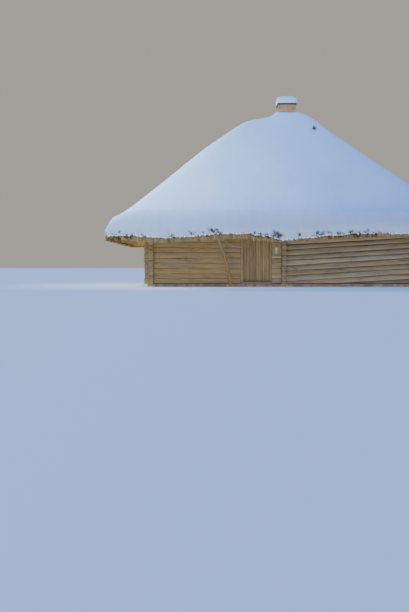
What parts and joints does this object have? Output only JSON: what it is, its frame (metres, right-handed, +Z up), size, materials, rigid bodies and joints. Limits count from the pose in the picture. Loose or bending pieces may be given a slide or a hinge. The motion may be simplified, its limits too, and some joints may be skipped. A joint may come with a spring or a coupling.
{
  "type": "log farmhouse with a thatched hip roof",
  "caption": "Low farmhouse of notched logs on a stone footing, with a plank door in two leaves, a small window, a thatched hip roof under settled snow and a square chimney.",
  "frame": {"origin": "on the ground under the middle of the house, in plan the middle of the roof", "axes": "+X along the long front to the right of someone who faces the door, +Y from the front to the back, +Z up"},
  "size_m": [13.9, 11, 8.4303],
  "materials": {
    "log_wood": "weathered grey-brown logs with drying cracks, matte",
    "board_wood": "weathered dark boards, matte",
    "peeled_pole": "peeled pole, browner at its foot, matte",
    "rafter_wood": "smoke-dark split poles, matte",
    "thatch_reed": "bundled straw with a cut, frosty edge, matte",
    "settled_snow": "settled snow, fine-grained and matte",
    "footing_stone": "rough field stone",
    "chimney_plaster": "weathered lime plaster over masonry, matte",
    "cap_stone": "dark rough slab",
    "window_glass": "old clear pane with a pale green cast"
  },
  "bodies": {
    "house": {"footing_front": "footing_stone", "footing_back": "footing_stone", "footing_left": "footing_stone", "footing_right": "footing_stone", "back_wall": "log_wood", "left_wall": "log_wood", "right_wall": "log_wood", "front_wall_left": "log_wood", "front_wall_right": "log_wood", "front_wall_over_door": "log_wood", "front_wall_with_window": "log_wood", "cross_wall_ends": "log_wood", "wall_plate_front": "log_wood", "wall_plate_back": "log_wood", "wall_plate_left": "log_wood", "wall_plate_right": "log_wood", "door_sill": "board_wood", "door_jamb_left": "board_wood", "door_jamb_right": "board_wood", "window_frame": "board_wood", "window_pane": "window_glass", "eave_strut": "peeled_pole", "thatch_front": "thatch_reed", "thatch_right": "thatch_reed", "thatch_back": "thatch_reed", "thatch_left": "thatch_reed", "snow_front": "settled_snow", "snow_right": "settled_snow", "snow_back": "settled_snow", "snow_left": "settled_snow", "rafters_front": "rafter_wood", "rafters_right": "rafter_wood", "rafters_back": "rafter_wood", "rafters_left": "rafter_wood", "chimney_stack": "chimney_plaster", "chimney_cap": "cap_stone", "chimney_snow": "settled_snow"},
    "door_left": {"door_leaf_left": "board_wood"},
    "door_right": {"door_leaf_right": "board_wood"}
  },
  "joints": [
    {"name": "door_left_hinge", "type": "hinge", "parent": "house", "child": "door_left", "pos_m": [-1.545, -3.86, 0.198], "axis": [0, 0, 1], "range_deg": [0, 90]},
    {"name": "door_right_hinge", "type": "hinge", "parent": "house", "child": "door_right", "pos_m": [-0.575, -3.86, 0.198], "axis": [0, 0, -1], "range_deg": [0, 90]}
  ]
}
